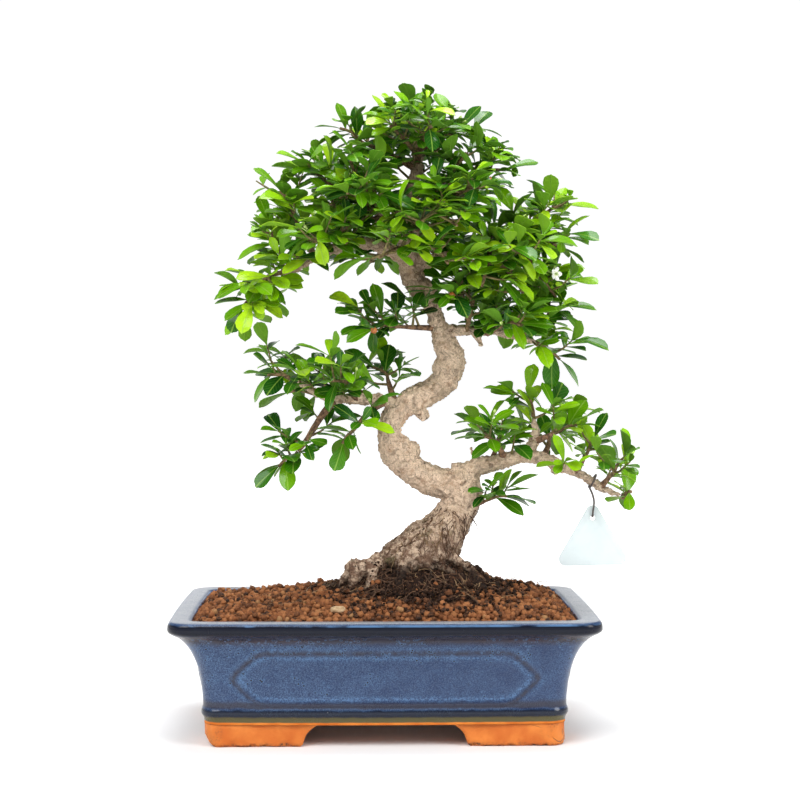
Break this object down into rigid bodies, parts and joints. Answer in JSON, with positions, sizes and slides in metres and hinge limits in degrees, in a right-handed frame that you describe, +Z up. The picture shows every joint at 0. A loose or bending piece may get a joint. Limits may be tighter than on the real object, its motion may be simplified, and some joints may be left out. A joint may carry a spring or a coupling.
{
  "type": "potted bonsai tree",
  "caption": "Fukien tea bonsai with an S-shaped trunk and leafy pads, in a rectangular glazed pot on corner feet.",
  "frame": {"origin": "on the surface that the pot stands on, under the middle of the box round the whole", "axes": "+Z up along the trunk's rise, +X to the right along the pot's long side, the front at -Y"},
  "size_m": [0.3336, 0.205, 0.4662],
  "materials": {
    "glazed_pot": "glossy mottled dark blue glaze over terracotta",
    "soil": "dry baked clay granules",
    "peat": "dry fibrous peat",
    "bark": "pale, pitted and matt bark",
    "leaf": "glossy leaf",
    "petal": "soft white petal",
    "pale_stone": "dry matt stone",
    "tag": "plain white card",
    "wire": "dark coated wire",
    "screen": "black plastic mesh"
  },
  "bodies": {
    "root": {"pot": "glazed_pot", "soil": "soil", "root_ball": "peat", "trunk": "bark", "drain_mesh_left": "screen", "drain_mesh_right": "screen", "pale_stone": "pale_stone", "flower": "petal", "hang_tag": "tag", "tag_tie": "wire", "spray_right_main": "leaf", "spray_right_end": "leaf", "spray_right_mid": "leaf", "spray_right_upper": "leaf", "spray_right_upper_side": "leaf", "spray_right_inner": "leaf", "spray_right_back": "leaf", "spray_right_back_inner": "leaf", "spray_right_low": "leaf", "spray_left_main": "leaf", "spray_left_down": "leaf", "spray_left_down_inner": "leaf", "spray_left_front": "leaf", "spray_left_back": "leaf", "spray_left_back_outer": "leaf", "spray_left_rise": "leaf", "spray_left_thin": "leaf", "spray_under_right": "leaf", "spray_under_front": "leaf", "spray_under_back": "leaf", "spray_upper_left": "leaf", "spray_left_tip_rise": "leaf", "spray_left_tall": "leaf", "spray_left_high_back": "leaf", "spray_left_high_front": "leaf", "spray_upper_right": "leaf", "spray_right_tip_rise": "leaf", "spray_right_high_front": "leaf", "spray_right_high_back": "leaf", "spray_right_droop": "leaf", "spray_crown_left": "leaf", "spray_crown_left_front": "leaf", "spray_crown_left_back": "leaf", "spray_crown_right_front": "leaf", "spray_crown_right_back": "leaf", "spray_crown_right": "leaf", "spray_crown_front": "leaf", "spray_crown_back": "leaf", "spray_top_left": "leaf", "spray_top_front": "leaf", "spray_top_back": "leaf", "spray_top_right": "leaf", "spray_upper_trunk": "leaf"}
  },
  "joints": []
}
